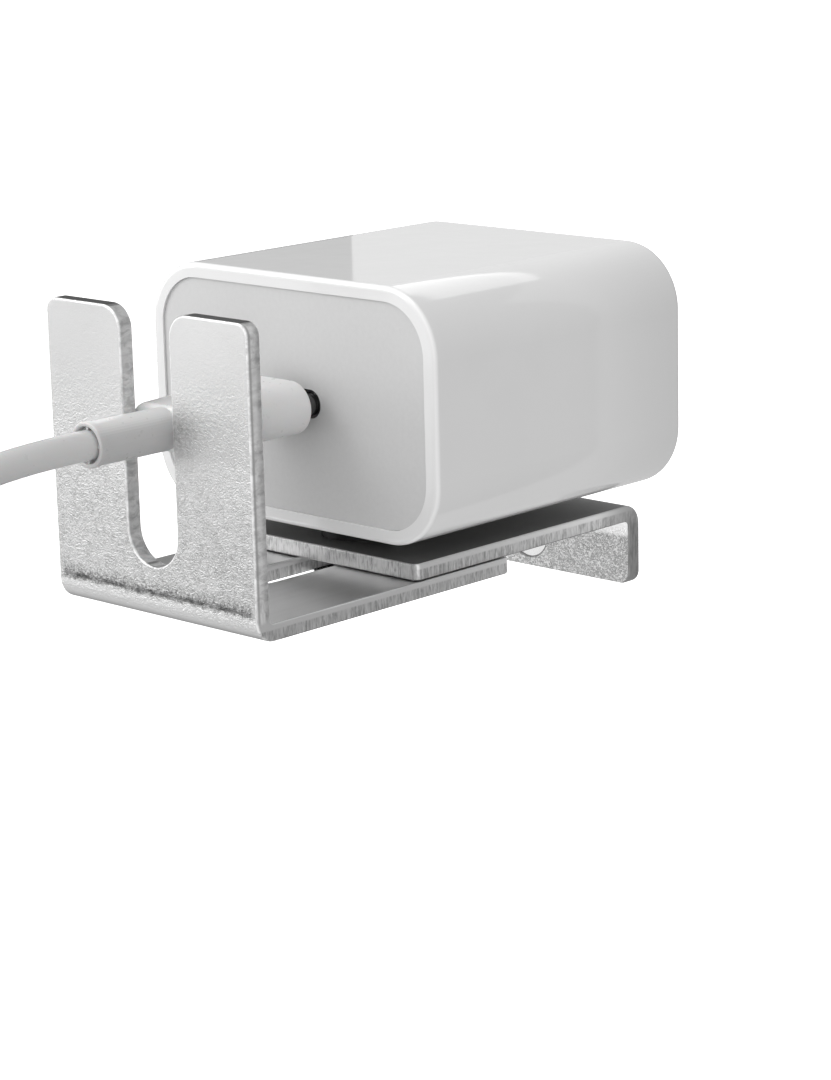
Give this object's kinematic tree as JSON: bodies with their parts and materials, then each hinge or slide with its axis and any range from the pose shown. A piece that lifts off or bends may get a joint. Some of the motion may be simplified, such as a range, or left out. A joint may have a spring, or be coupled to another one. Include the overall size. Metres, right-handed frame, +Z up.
{
  "type": "usb wall charger",
  "caption": "White plug-in phone charger in a two-piece steel wall bracket whose sliding fork keeps the USB cable's plug in its port.",
  "frame": {"origin": "middle of the charger's rear face, which rests on the wall outlet", "axes": "+Y into the wall, -Y out into the room, +Z up, +X to the right as seen from the room"},
  "size_m": [0.0436, 0.1655, 0.1111],
  "materials": {
    "white_gloss": "gloss",
    "grey_matte": "matte",
    "steel": "satin",
    "black_plastic": "matte",
    "nickel_blade": "polished",
    "brass": "satin",
    "board_green": "satin",
    "ferrite": "matte",
    "copper": "satin",
    "yellow_tape": "gloss",
    "can_black": "gloss",
    "can_silver": "satin",
    "glass_fuse": "satin",
    "blue_epoxy": "gloss",
    "bracket_steel": "hammered satin",
    "screw_steel": "polished",
    "cable_white": "satin",
    "strap_white": "matte"
  },
  "bodies": {
    "wall_fixed": {"outer_shell": "white_gloss", "face_plate": "grey_matte", "port_shell": "steel", "port_tongue": "black_plastic", "blade_carrier": "black_plastic", "blade_line": "nickel_blade", "blade_neutral": "nickel_blade", "contact_line": "brass", "contact_neutral": "brass", "main_board": "board_green", "port_board": "board_green", "board_header": "black_plastic", "transformer_core": "ferrite", "transformer_bobbin": "black_plastic", "transformer_winding": "copper", "transformer_tape": "yellow_tape", "transformer_feet": "black_plastic", "bulk_capacitor_rear": "can_black", "bulk_capacitor_front": "can_black", "output_capacitor": "can_silver", "choke_core": "ferrite", "choke_winding_line": "copper", "choke_winding_neutral": "copper", "fuse": "glass_fuse", "disc_capacitor": "blue_epoxy", "filter_capacitor": "yellow_tape", "optocoupler": "black_plastic", "bridge_rectifier": "black_plastic", "switching_chip": "black_plastic", "output_rectifier": "black_plastic", "power_chip": "black_plastic", "heat_spreader": "copper", "rear_bracket": "bracket_steel", "wall_screw": "screw_steel", "clamp_nut": "screw_steel"},
    "slider": {"front_bracket": "bracket_steel"},
    "washer": {"clamp_washer": "screw_steel"},
    "screw": {"clamp_screw": "screw_steel"},
    "cable": {"plug_shell": "steel", "plug_liner": "black_plastic", "plug_overmold": "cable_white", "plug_strain_relief": "cable_white", "cord_lead": "cable_white", "cord_coil": "cable_white", "cord_tail": "cable_white", "coil_tie": "strap_white", "far_plug_strain_relief": "cable_white", "far_plug_overmold": "cable_white", "far_plug_shell": "steel", "far_plug_liner": "black_plastic"}
  },
  "joints": [
    {"name": "bracket_slide", "type": "slide", "parent": "wall_fixed", "child": "slider", "axis": [0, -1, 0], "range_m": [0, 0.0038]},
    {"name": "washer_drop", "type": "slide", "parent": "wall_fixed", "child": "washer", "axis": [0, 0, -1], "range_m": [0, 0.0014]},
    {"name": "screw_turn", "type": "hinge", "parent": "washer", "child": "screw", "pos_m": [0, -0.031, -0.022], "axis": [0, 0, -1], "range_deg": [0, 720]},
    {"name": "plug_push", "type": "slide", "parent": "wall_fixed", "child": "cable", "axis": [0, 1, 0], "range_m": [0, 0.002]}
  ],
  "couplings": [
    {"joint": "screw_turn", "follows": "washer_drop", "rad_per_m": 8975.9}
  ]
}
